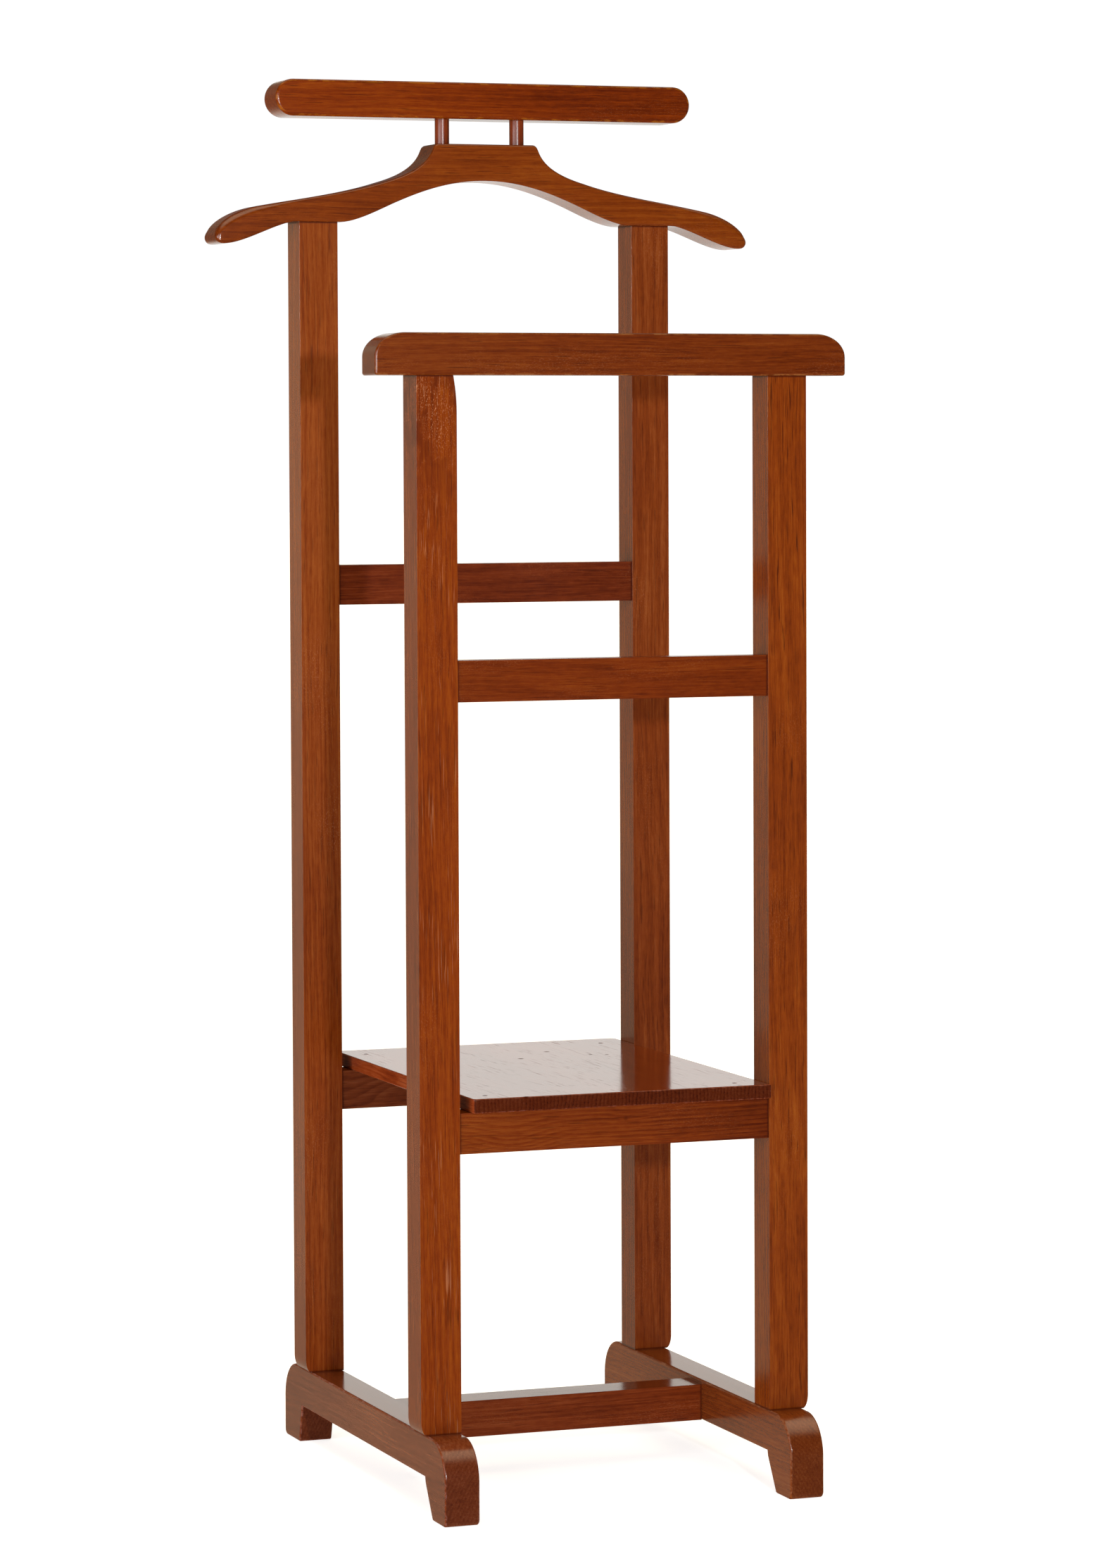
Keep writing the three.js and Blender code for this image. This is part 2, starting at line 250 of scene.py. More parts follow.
def lathe(name, profile, centre, sides=40):
    """A profile of (radius, height) turned about a vertical axis."""
    build = bmesh.new()
    rings = [circle_of_vertices(build, radius, height, centre, sides) for radius, height in profile]
    for lower, upper in zip(rings, rings[1:]):
        for i in range(sides):
            j = (i + 1) % sides
            corners = [lower[i % len(lower)], lower[j % len(lower)]]
            corners += [upper[j % len(upper)], upper[i % len(upper)]]
            build.faces.new(list(dict.fromkeys(corners)))
    bmesh.ops.recalc_face_normals(build, faces=build.faces)
    obj = object_from(build, name)
    smooth(obj, 50)
    return obj


def box_middle(node):
    """Centre of a node's box, seen from above."""
    low, high = boxes[node]
    return ((low.x + high.x) / 2, (low.y + high.y) / 2)


# ---- node trees ---------------------------------------------------------------------------
def tint(colour, factor=(1, 1, 1)):
    """A colour for a socket, with its red, green and blue multiplied."""
    return (*(c * f for c, f in zip(colour, factor)), 1)


class Graph:
    """Short forms for building a node tree."""

    def __init__(self, owner):
        self.tree = owner.node_tree

    def add(self, kind, **settings):
        node = self.tree.nodes.new("ShaderNode" + kind)
        for key, value in settings.items():
            setattr(node, key, value)
        return node

    def put(self, socket, value):
        if isinstance(value, bpy.types.NodeSocket):
            self.tree.links.new(value, socket)
        else:
            socket.default_value = value

    def math(self, operation, a, b=0.0, c=0.0):
        node = self.add("Math", operation=operation)
        for socket, value in zip(node.inputs, (a, b, c)):
            self.put(socket, value)
        return node.outputs[0]

    def times(self, a, b):
        return self.math("MULTIPLY", a, b)

    def plus_share(self, value, share, base):
        """base, plus a share of value."""
        return self.math("MULTIPLY_ADD", value, share, base)

    def less(self, value, loss):
        """1 where value is 0, down to 1 - loss where it is 1."""
        return self.math("MULTIPLY_ADD", value, -loss, 1.0)

    def vector(self, operation, a, b=(0, 0, 0)):
        node = self.add("VectorMath", operation=operation)
        self.put(node.inputs[0], a)
        self.put(node.inputs[1], b)
        return node.outputs["Value" if operation in ("LENGTH", "DISTANCE", "DOT_PRODUCT") else "Vector"]

    def split(self, vector):
        node = self.add("SeparateXYZ")
        self.put(node.inputs[0], vector)
        return node.outputs

    def join(self, *parts):
        node = self.add("CombineXYZ")
        for socket, value in zip(node.inputs, parts):
            self.put(socket, value)
        return node.outputs[0]

    def noise(self, vector, repeats, detail=2.0, roughness=0.5, colour=False):
        """repeats is the number of repeats per metre along each axis."""
        node = self.add("TexNoise")
        self.put(node.inputs["Vector"], self.vector("MULTIPLY", vector, repeats))
        node.inputs["Scale"].default_value = 1.0
        node.inputs["Detail"].default_value = detail
        node.inputs["Roughness"].default_value = roughness
        return node.outputs["Color" if colour else "Fac"]

    def step(self, value, low, high):
        """0 below low, 1 above high, smooth between."""
        node = self.add("MapRange", interpolation_type="SMOOTHSTEP")
        for key, number in (("Value", value), ("From Min", low), ("From Max", high)):
            self.put(node.inputs[key], number)
        return node.outputs["Result"]

    def ramp(self, value, stops):
        node = self.add("ValToRGB")
        ramp = node.color_ramp
        while len(ramp.elements) < len(stops):
            ramp.elements.new(0.5)
        for element, (position, colour) in zip(ramp.elements, stops):
            element.position = position
            element.color = tint(colour)
        self.put(node.inputs["Fac"], value)
        return node.outputs["Color"]

    def mix(self, factor, a, b, blend="MIX"):
        node = self.add("Mix", data_type="RGBA", blend_type=blend)
        for socket, value in zip((node.inputs[0], node.inputs[6], node.inputs[7]), (factor, a, b)):
            self.put(socket, value)
        return node.outputs[2]


def new_material(name):
    """A material with nodes, as its graph and its shader."""
    material = bpy.data.materials.new(name)
    material.use_nodes = True
    g = Graph(material)
    return material, g, g.tree.nodes["Principled BSDF"]


# ---- stained and varnished wood -----------------------------------------------------------
DARK = (0.080, 0.0085, 0.0010)
MIDDLE = (0.190, 0.0275, 0.0022)
LIGHT = (0.290, 0.0600, 0.0075)
# The paler line along the rounded edges: wear, and a painted highlight.
EDGE_WEAR_HIGHLIGHT = (0.420, 0.150, 0.045)
PALE = (0.480, 0.210, 0.095)
PORE = (0.040, 0.0050, 0.0012)

# Axes of the object that lie across, across and along the grain.
GRAIN_ORDER = {"X": ("Y", "Z", "X"), "Y": ("Z", "X", "Y"), "Z": ("X", "Y", "Z")}

# Repeats per metre of each pattern: across, across and along the grain.
WOBBLES = (9, 9, 3)
CLOUDS = (16, 16, 5)
BANDS = (150, 150, 2.6)
FIBRES = (640, 640, 11)
FINE_FIBRES = (1500, 1500, 90)
PATCHES = (260, 260, 110)
UNEVEN_RINGS = (45, 45, 7)
PORES = (900, 900, 34)
FLECKS = (1500, 1500, 620)
FLECKED_AREAS = (24, 24, 9)
WORN_AREAS = (60, 60, 36)
SCRATCHES = (900, 900, 24)
SCRATCHED_AREAS = (38, 38, 20)
EDGE_LINE_BREAKS = (220, 220, 90)

WOBBLE_SIZE = 12 * MM
# Width of the painted shade in the joints: full up to the first, gone at the second.
SEAM_SHADE_WIDTH = (0.5 * MM, 1.8 * MM)
BUMP_HEIGHT = 0.5 * MM


@dataclass
class Look:
    """What sets one piece of wood apart from another. Strengths run from 0 to about 1."""

    grain: str  # the axis that the fibres run along
    seed: int
    tone: tuple  # multiplies the red, green and blue of the stain
    pith: tuple = (0.09, 0.05)  # centre of the growth rings, across the grain
    ring: float = 0.0042  # width of a growth ring
    lean: float = 0.02  # how far the pith moves across, per metre along the grain
    rings: float = 0.10  # strength of the growth rings
    swirls: tuple = ()  # (centre, stretch, turns) of hidden knots that bend the rings
    streak: float = 0.45  # strength of the fibres
    blotch: float = 0.45  # strength of the clouds
    mottle: float = 0.30  # strength of the small patches
    drift: float = 0.0  # how much lighter the colour gets, per metre along the grain; a minus darkens it, as painted shade on the front apron
    pore: float = 0.5  # strength of the open pores
    fleck: float = 0.10  # strength of the pale flecks
    worn_zone: tuple = None  # two places along the grain: wear sets in between them
    scratch: float = 0.0  # paleness of the fine scratches
    scuff: float = 0.0  # share of the varnish that they take away
    knots: tuple = ()  # (centre, radius) of knots and dents
    end_tone: float = 0.6  # brightness of the end grain
    end_gloss: float = 1.0  # share of the varnish left on the end grain
    edge_rub_and_highlight: float = 0.45  # strength of the paler line along the edges: wear, and a painted highlight
    seams: tuple = None  # the two places along the grain where the piece meets its neighbours, darkened there as painted shade
    bare: tuple = ()  # axes of the faces with hardly any varnish; a plus means one side only
    gloss: float = 0.18  # roughness of the varnish
    relief: float = 1.0  # strength of the bump


class Wood:
    """Builds the material of one piece."""

    def __init__(self, name, look):
        self.material, self.g, self.shader = new_material(name)
        self.look = look
        self.set_coordinates()
        self.set_patterns()
        self.set_colour()
        self.set_roughness()
        self.set_relief()
        self.set_varnish()

    def set_coordinates(self):
        """local has the grain along Z, bent follows the wobble of the fibres."""
        g, look = self.g, self.look
        order = GRAIN_ORDER[look.grain]
        draw = random.Random(look.seed)
        shift = tuple(draw.uniform(-0.4, 0.4) for _ in range(3))
        whole = g.add("TexCoord").outputs["Object"]
        parts = g.split(whole)
        self.local = g.join(*(parts[axis] for axis in order))
        self.along = g.split(self.local)["Z"]
        self.facing = g.split(g.add("NewGeometry").outputs["Normal"])
        self.end_grain = g.step(g.math("ABSOLUTE", self.facing[order[2]]), 0.55, 0.92)
        self.seeded = g.vector("ADD", self.local, shift)
        centred = g.vector("SUBTRACT", g.noise(self.seeded, WOBBLES, colour=True), (0.5, 0.5, 0.5))
        self.wobble = g.vector("MULTIPLY", centred, (WOBBLE_SIZE, WOBBLE_SIZE, 0))
        self.bent = g.vector("ADD", self.seeded, self.wobble)
        self.spots = g.vector("ADD", whole, self.wobble)

    def set_patterns(self):
        g = self.g
        self.late = self.growth_rings()
        self.bands = g.noise(self.bent, BANDS)
        self.fibre = g.noise(self.bent, FIBRES, 3.0, 0.6)
        self.cloud = g.noise(self.seeded, CLOUDS, 3.0, 0.55)
        self.pores = self.open_pores()
        self.scratches = self.fine_scratches()
        self.dents = None
        self.edge = g.add("Attribute", attribute_name="worn_edge_and_highlight").outputs["Fac"]

    def growth_rings(self):
        """1 in the dark late wood of each ring, 0 in the early wood."""
        g, look = self.g, self.look
        x, y, z = g.split(g.vector("ADD", self.local, self.wobble))
        pith_x = g.plus_share(z, -look.lean, look.pith[0])
        pith_y = g.plus_share(z, 0.6 * look.lean, look.pith[1])
        across = g.join(g.math("SUBTRACT", x, pith_x), g.math("SUBTRACT", y, pith_y))
        count = g.math("DIVIDE", g.vector("LENGTH", across), look.ring)
        phase = g.plus_share(g.noise(self.bent, UNEVEN_RINGS), 1.6, count)
        for centre, stretch, turns in look.swirls:
            offset = g.vector("MULTIPLY", g.vector("SUBTRACT", self.spots, centre), stretch)
            near = g.less(g.step(g.vector("LENGTH", offset), 0.0, 1.0), 1.0)
            phase = g.plus_share(near, turns, phase)
        saw = g.math("FRACT", phase)
        return g.math("SUBTRACT", g.step(saw, 0.15, 0.85), g.step(saw, 0.86, 1.0))

    def open_pores(self):
        """Short dashes along the grain, fewer in the late wood and on the end grain."""
        g = self.g
        dashes = g.step(g.noise(self.bent, PORES, 1.0), 0.60, 0.72)
        return g.times(g.times(dashes, g.less(self.late, 0.7)), g.less(self.end_grain, 0.85))

    def fine_scratches(self):
        """Long thin broken lines, nearly along the grain."""
        g = self.g
        lines = g.step(g.noise(self.bent, SCRATCHES, 2.0, 0.6), 0.60, 0.70)
        return g.times(lines, g.step(g.noise(self.seeded, SCRATCHED_AREAS), 0.38, 0.62))

    def set_colour(self):
        g, look = self.g, self.look
        colour = self.stain()
        colour = g.mix(g.times(self.pores, look.pore), colour, tint(PORE, look.tone))
        colour = self.add_flecks(colour)
        if look.scratch:
            colour = g.mix(g.times(self.scratches, look.scratch), colour, tint(PALE))
        colour = self.darken_end_grain(colour)
        colour = self.add_knots(colour)
        # paler rounded edges: wear, and a painted highlight
        colour = self.worn_and_highlit_edges(colour)
        # painted shade in the joints
        if look.seams:
            colour = self.paint_seam_shade(colour)
        g.put(self.shader.inputs["Base Color"], colour)

    def stain(self):
        """The patterns together give a level, and the level gives the colour."""
        g, look = self.g, self.look
        level = g.plus_share(self.along, look.drift, 0.5)
        for pattern, middle, weight in (
            (self.cloud, 0.5, look.blotch),
            (self.bands, 0.5, 0.5 * look.streak),
            (self.fibre, 0.5, 1.3 * look.streak),
            (g.noise(self.bent, FINE_FIBRES, 2.0, 0.6), 0.5, look.streak),
            (g.noise(self.bent, PATCHES, 4.0, 0.7), 0.5, look.mottle),
            (self.late, 0.35, -look.rings),
        ):
            level = g.plus_share(g.math("SUBTRACT", pattern, middle), weight, level)
        stops = ((0.15, DARK), (0.5, MIDDLE), (0.85, LIGHT))
        return g.ramp(level, [(position, tint(colour, look.tone)) for position, colour in stops])

    def add_flecks(self, colour):
        """Pale flecks where the fibres turn to the surface, and many of them where it is worn."""
        g, look = self.g, self.look
        glints = g.noise(self.bent, FLECKS, 2.0, 0.6)
        areas = g.step(g.noise(self.seeded, FLECKED_AREAS), 0.48, 0.72)
        flecks = g.times(g.times(g.step(glints, 0.55, 0.66), areas), look.fleck)
        if look.worn_zone:
            zone = g.step(self.along, *look.worn_zone)
            uneven = g.noise(self.seeded, WORN_AREAS, 3.0, 0.6)
            grime = g.times(zone, g.step(uneven, 0.56, 0.40))
            colour = g.mix(g.times(grime, 0.55), colour, tint(DARK, look.tone))
            worn = g.times(zone, g.step(uneven, 0.40, 0.66))
            worn = g.times(g.times(g.step(glints, 0.56, 0.68), worn), 0.55)
            flecks = g.math("MAXIMUM", flecks, worn)
        return g.mix(flecks, colour, tint(PALE))

    def darken_end_grain(self, colour):
        """End grain drinks more stain."""
        tone = self.look.end_tone
        darker = self.g.mix(1.0, colour, (tone, tone * 0.97, tone * 1.1, 1), "MULTIPLY")
        return self.g.mix(self.end_grain, colour, darker)

    def add_knots(self, colour):
        """Knots and dents at chosen places: dark cores with a soft rim."""
        g = self.g
        for centre, radius in self.look.knots:
            distance = g.math("DIVIDE", g.vector("DISTANCE", self.spots, centre), radius)
            core = g.less(g.step(distance, 0.35, 1.0), 1.0)
            colour = g.mix(g.times(core, 0.85), colour, tint(PORE))
            self.dents = core if self.dents is None else g.math("MAXIMUM", self.dents, core)
        return colour

    def worn_and_highlit_edges(self, colour):
        """A broken paler line along the rounded edges: partly wear, partly a painted highlight."""
        g, look = self.g, self.look
        breaks = g.step(g.noise(self.seeded, EDGE_LINE_BREAKS, 4.0, 0.65), 0.48, 0.60)
        return g.mix(g.times(self.edge, g.times(breaks, look.edge_rub_and_highlight)), colour, tint(EDGE_WEAR_HIGHLIGHT, look.tone))

    def paint_seam_shade(self, colour):
        """Painted shade in the joints: a dark line where the pieces meet, in place of their shadow."""
        g = self.g
        low, high = self.look.seams
        near, far = SEAM_SHADE_WIDTH
        low_end = g.step(self.along, low + far, low + near)
        high_end = g.step(self.along, high - far, high - near)
        return g.mix(g.times(g.math("MAXIMUM", low_end, high_end), 0.8), colour, tint(PORE))

    def set_roughness(self):
        g = self.g
        rough = g.plus_share(g.math("SUBTRACT", self.fibre, 0.5), 0.25, 0.55)
        g.put(self.shader.inputs["Roughness"], g.plus_share(self.pores, 0.2, rough))
        self.shader.inputs["Specular IOR Level"].default_value = 0.0

    def set_relief(self):
        """The varnish follows the relief of the wood only a little."""
        g = self.g
        height = g.plus_share(self.bands, 0.8, g.times(self.fibre, 0.30))
        height = g.plus_share(self.pores, -0.45, height)
        height = g.plus_share(self.cloud, 2.0, height)
        if self.dents is not None:
            height = g.plus_share(self.dents, -3.0, height)
        height = g.times(height, g.less(self.end_grain, 0.97))
        for socket, strength in (("Normal", 0.35), ("Coat Normal", 0.06)):
            bump = g.add("Bump")
            bump.inputs["Distance"].default_value = BUMP_HEIGHT
            bump.inputs["Strength"].default_value = strength * self.look.relief
            g.put(bump.inputs["Height"], height)
            g.put(self.shader.inputs[socket], bump.outputs["Normal"])

    def set_varnish(self):
        """Thinner along the edges, in scratches and dents, and on bare faces."""
        g, look = self.g, self.look
        varnish = g.less(self.scratches, look.scuff)
        varnish = g.times(varnish, g.less(self.edge, 0.5))
        varnish = g.times(varnish, g.less(self.end_grain, 1.0 - look.end_gloss))
        if self.dents is not None:
            varnish = g.times(varnish, g.less(self.dents, 0.85))
        for axis in look.bare:
            towards = self.facing[axis[-1]]
            if not axis.startswith("+"):
                towards = g.math("ABSOLUTE", towards)
            varnish = g.times(varnish, g.less(g.step(towards, 0.6, 0.95), 0.9))
        g.put(self.shader.inputs["Coat Weight"], varnish)
        self.shader.inputs["Coat Roughness"].default_value = look.gloss
        self.shader.inputs["Coat IOR"].default_value = 1.5


# ---- other materials ----------------------------------------------------------------------
def raw_wood(name):
    """Plain pale wood of the hidden dowels."""
    material, g, shader = new_material(name)
    coords = g.vector("ADD", g.add("TexCoord").outputs["Object"], (3.7, 3.7, 3.7))
    fibre = g.noise(coords, (300, 300, 300), 3.0, 0.6)
    colour = g.ramp(fibre, [(0.3, (0.42, 0.25, 0.11)), (0.7, (0.62, 0.42, 0.21))])
    g.put(shader.inputs["Base Color"], colour)
    shader.inputs["Roughness"].default_value = 0.8
    return material


def nail_steel(name):
    """Dulled steel under old varnish."""
    material, g, shader = new_material(name)
    rust = g.noise(g.add("TexCoord").outputs["Object"], (900, 900, 900), 3.0, 0.6)
    colour = g.ramp(rust, [(0.35, (0.035, 0.016, 0.010)), (0.7, (0.16, 0.11, 0.085))])
    g.put(shader.inputs["Base Color"], colour)
    g.put(shader.inputs["Roughness"], g.plus_share(rust, 0.4, 0.25))
    shader.inputs["Metallic"].default_value = 0.7
    return material


def finish_piece(obj, material, node):
    """Gives a piece its material, puts it under the root body and hides the CAD node that it stands for."""
    obj.data.materials.append(material)
    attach(obj, "root")
    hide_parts(node)


def finish_wood(obj, node, look):
    finish_piece(obj, Wood(node + "_finish", look).material, node)


# ---- feet ---------------------------------------------------------------------------------
def foot_outline(end, top):
    """From the side, as (Y, Z): the underside with its arch, then the rounded back and front."""
    outline = [
        (HEEL_FRONT, 0), (ARCH_FRONT - ARCH_BEND[0], ARCH_HEIGHT - ARCH_BEND[1]),
        (ARCH_FRONT, ARCH_HEIGHT), (ARCH_REAR, ARCH_HEIGHT), (HEEL_REAR, 0),
    ]
    toe = (TOE_RADIUS, TOE_RADIUS)
    shoulder = (SHOULDER_RADIUS, SHOULDER_RADIUS)
    outline += arc((end - TOE_RADIUS, TOE_RADIUS), toe, -90, 0, 8)
    outline += arc((end - SHOULDER_RADIUS, top - SHOULDER_RADIUS), shoulder, 0, 90, 20)
    outline += arc((-end + SHOULDER_RADIUS, top - SHOULDER_RADIUS), shoulder, 90, 180, 20)
    outline += arc((-end + TOE_RADIUS, TOE_RADIUS), toe, 180, 270, 8)
    return outline


def make_foot(name, seed, tone):
    low, high = boxes[name]
    obj = prism(name + "_wood", foot_outline(high.y, high.z), "X", low.x, high.x, FOOT_EASE)
    look = Look(
        "Y", seed, tone, pith=(-0.06, 0.02), ring=0.0028, lean=0.03, rings=0.08, pore=0.15,
        mottle=0.20, fleck=0.06, end_tone=0.60, edge_rub_and_highlight=0.25,
    )
    finish_wood(obj, name, look)


make_foot("left_foot", 11, (0.76, 1.05, 3.2))
make_foot("right_foot", 12, (0.84, 1.15, 2.2))


# ---- straight bars ------------------------------------------------------------------------
def make_bar(name, ease, seed, tone, **own):
    """A straight rectangular bar along X, butted between two uprights."""
    low, high = boxes[name]
    outline = [(low.y, low.z), (high.y, low.z), (high.y, high.z), (low.y, high.z)]
    obj = prism(
        name + "_wood", outline, "X", low.x, high.x, ease,
        butt=lambda point: abs(point.x) > high.x - CLOSE,
    )
    finish_wood(obj, name, Look("X", seed, tone, seams=(low.x, high.x), **own))


def make_rear_apron():
    """Its rings bend round a hidden knot."""
    face = boxes["rear_apron"][0].y
    knot = ((-78 * MM, face, 288 * MM), (22, 20, 50), 2.0)
    make_bar(
        "rear_apron", RAIL_EASE, 24, (0.60, 0.77, 2.0), pith=(0.02, 0.37), rings=0.18, swirls=(knot,),
        bare=("Z",),
    )


def make_front_apron():
    """Two open knots near the middle, with the rings bent round them, and a hidden one on the left. It
    darkens towards the right end, as painted shade near the right post.
    """
    face = boxes["front_apron"][0].y
    knots = (
        ((8 * MM, face, 294.5 * MM), 3.4 * MM),
        ((23 * MM, face, 296 * MM), 2.4 * MM),
    )
    swirls = (
        ((-84 * MM, face, 281 * MM), (20, 20, 38), 2.4),
        ((14 * MM, face, 297 * MM), (34, 20, 90), 0.8),
    )
    # the drift paints shade towards the right end, next to the post
    make_bar(
        "front_apron", RAIL_EASE, 25, (0.62, 0.62, 0.48), pith=(-0.19, 0.20), ring=0.0034, rings=0.15,
        drift=-1.2, knots=knots, swirls=swirls, bare=("Z",),
    )


make_bar("foot_stretcher", STRETCHER_EASE, 21, (0.69, 0.74, 1.4), pith=(0.03, -0.09))
make_bar("front_mid_rail", RAIL_EASE, 22, (0.60, 0.58, 0.38), pith=(-0.28, 0.60))
make_bar("rear_mid_rail", RAIL_EASE, 23, (0.60, 0.62, 1.38), pith=(0.02, 0.77))
make_rear_apron()
make_front_apron()


# ---- posts --------------------------------------------------------------------------------
FOOT_OUTER_X = boxes["right_foot"][1].x


def post_outline(inner, outer, bottom, top, worn_top):
    """From the front, as (X, Z), for a post on the right. The outer face curves in to the foot."""
    curve = (outer - FOOT_OUTER_X, FOOT_CURVE_HEIGHT)
    outline = [(inner, bottom)]
    outline += arc((FOOT_OUTER_X, bottom + FOOT_CURVE_HEIGHT), curve, -90, 0, 12)
    outline += [(outer, top)]
    if not worn_top:
        return outline + [(inner, top)]
    shaved = (inner + SHAVE_WIDTH, top)
    return outline + [shaved] + bezier(
        shaved, (inner + SHAVE_WIDTH / 2, top - SHAVE_LENGTH * 2 / 7),
        (inner, top - SHAVE_LENGTH * 4 / 7), (inner, top - SHAVE_LENGTH), 8,
    )


def make_post(name, side, seed, tone, worn_top=False, **own):
    """side is 1 on the right and -1 on the left."""
    low, high = boxes[name]
    inner, outer = (low.x, high.x) if side > 0 else (-high.x, -low.x)
    outline = [(side * x, z) for x, z in post_outline(inner, outer, low.z, high.z, worn_top)]
    if side < 0:
        outline.reverse()
    obj = prism(
        name + "_wood", outline, "Y", low.y, high.y, POST_EASE,
        butt=lambda point: point.z < low.z + CLOSE,
    )
    finish_wood(obj, name, Look("Z", seed, tone, seams=(low.z, high.z), **own))


make_post(
    "front_left_post", -1, 31, (0.78, 0.79, 0.22), worn_top=True, worn_zone=(0.72, 0.86), scratch=0.30,
    pith=(-0.05, -0.22),
)
make_post("front_right_post", 1, 32, (0.80, 0.93, 0.6), pore=0.75, pith=(0.20, -0.30))
make_post("rear_left_post", -1, 33, (0.77, 0.87, 0.98), drift=0.22, fleck=0.15, pith=(-0.22, 0.10))
make_post("rear_right_post", 1, 34, (0.78, 0.96, 1.5), pith=(0.08, 0.26))


# ---- front top rail -----------------------------------------------------------------------
def make_top_rail():
    low, high = boxes["front_top_rail"]
    corner = (RAIL_CORNER, RAIL_CORNER)
    shoulder_x, shoulder_z = RAIL_SHOULDER
    outline = arc((high.x - RAIL_CORNER, low.z + RAIL_CORNER), corner, -90, 0, 5)
    outline += arc((high.x - shoulder_x, high.z - shoulder_z), RAIL_SHOULDER, 0, 90, 22)
    outline += arc((low.x + shoulder_x, high.z - shoulder_z), RAIL_SHOULDER, 90, 180, 22)
    outline += arc((low.x + RAIL_CORNER, low.z + RAIL_CORNER), corner, 180, 270, 5)
    obj = prism("front_top_rail_wood", outline, "Y", low.y, high.y, TOP_RAIL_EASE)
    look = Look("X", 41, (0.57, 0.62, 0.55), drift=-0.3, pith=(-0.10, 0.80), ring=0.005, end_tone=0.9)
    finish_wood(obj, "front_top_rail", look)


make_top_rail()


# ---- trouser bar and pegs -----------------------------------------------------------------
def make_trouser_bar():
    low, high = boxes["trouser_bar"]
    radius = (high.z - low.z) / 2
    middle = (high.z + low.z) / 2
    outline = arc((high.x - radius, middle), (radius, radius), -90, 90, 36)
    outline += arc((low.x + radius, middle), (radius, radius), 90, 270, 36)
    obj = prism("trouser_bar_wood", outline, "Y", low.y, high.y, TROUSER_BAR_EASE, 5)
    look = Look(
        "X", 42, (0.75, 0.69, 0.1), drift=-0.6, pith=(0.05, 1.18), ring=0.005, end_tone=0.75,
        end_gloss=0.4,
    )
    finish_wood(obj, "trouser_bar", look)


def make_peg(node, seed):
    low, high = boxes[node]
    centre = box_middle(node)
    radius = (high.x - low.x) / 2
    profile = [
        (0, low.z), (radius - PEG_CHAMFER, low.z), (radius, low.z + PEG_CHAMFER),
        (radius, high.z - PEG_CHAMFER), (radius - PEG_CHAMFER, high.z), (0, high.z),
    ]
    obj = lathe(node + "_wood", profile, centre)
    look = Look("Z", seed, (0.85, 0.75, 0.9), pith=(centre[0] + 0.05, 0.2), gloss=0.28)
    finish_wood(obj, node, look)


make_trouser_bar()
make_peg("bar_peg_left", 43)
make_peg("bar_peg_right", 44)


# ---- hanger yoke --------------------------------------------------------------------------
# Half of the outline, as curves: the top from the middle out to the tip, and the underside.
SEAT = boxes["rear_left_post"][1].z
PLATEAU = boxes["hanger_yoke"][1].z
TIP = boxes["hanger_yoke"][1].x
NOSE = (TIP, NOSE_HEIGHT)


def millimetres(*points):
    return [(x * MM, z * MM) for x, z in points]


def yoke_top():
    """The flat middle, its small rounded corner, the neck, the arm and the tip."""
    points = [(0, PLATEAU), (PLATEAU_END / 2, PLATEAU), (PLATEAU_END, PLATEAU)]
    points += bezier(
        points[-1], (42.2 * MM, PLATEAU), (43.4 * MM, PLATEAU - 0.8 * MM),
        (44.5 * MM, PLATEAU - 2.9 * MM), 6,
    )
    points += bezier(points[-1], *millimetres((48.5, 1035.9), (59, 1027), (84, 1020)), 24)
    points += bezier(points[-1], *millimetres((115, 1010), (155, 1005.5), (191, 998.6)), 20)
    points += bezier(points[-1], *millimetres((208, 995.2)), (TIP - 1.5 * MM, 986 * MM), NOSE, 30)
    return points


def yoke_bottom():
    """The arch between the posts, the seat on the post and the underside of the arm."""
    points = [(0, YOKE_CREST)]
    points += bezier(points[-1], (32 * MM, YOKE_CREST), *millimetres((58, 1010.8), (79, 1001.8)), 20)
    points += bezier(points[-1], *millimetres((92, 996), (108, 988)), (121 * MM, SEAT), 14)
    points += [(163 * MM, SEAT)]
    points += bezier(points[-1], *millimetres((180, 983.5), (205, 968.2), (221, 968.5)), 20)
    points += bezier(points[-1], *millimetres((225, 968.6)), (TIP, 970.5 * MM), NOSE, 16)
    return points


def height_at(points, x):
    """Height of a curve that runs outwards, at x."""
    for (x0, z0), (x1, z1) in zip(points, points[1:]):
        if x0 <= x <= x1 and x1 > x0:
            return z0 + (z1 - z0) * (x - x0) / (x1 - x0)
    return points[-1][1]


def yoke_stations():
    """Places along half of the yoke where a cross-section is made, closer where it curves."""
    plateau = [2.5 * MM * i for i in range(17)]
    corner = [PLATEAU_END + 0.5 * MM * i for i in range(1, 6)]
    neck = [NECK_TOP + (NECK_FOOT - NECK_TOP) * (i / 34) ** 1.3 for i in range(35)]
    arm = [NECK_FOOT + 4 * MM * i for i in range(1, 28)]
    tip = [arm[-1] + (TIP - arm[-1]) * math.sin(math.pi / 2 * i / 40) for i in range(1, 41)]
    return sorted(set(round(x, 7) for x in plateau + corner + neck + arm + tip))


def yoke_radii(x, room):
    """Radii of the upper and lower corners of a section, which is room high."""
    out = min(1.0, max(0.0, (abs(x) - ROUNDER_FROM) / ROUNDER_OVER))
    eased = out * out * (3 - 2 * out)
    upper = UPPER_RADIUS[0] + (UPPER_RADIUS[1] - UPPER_RADIUS[0]) * eased
    lower = LOWER_RADIUS[0] + (LOWER_RADIUS[1] - LOWER_RADIUS[0]) * out
    limit = min(1.0, 0.98 * room / (upper + lower))
    return upper * limit, lower * limit


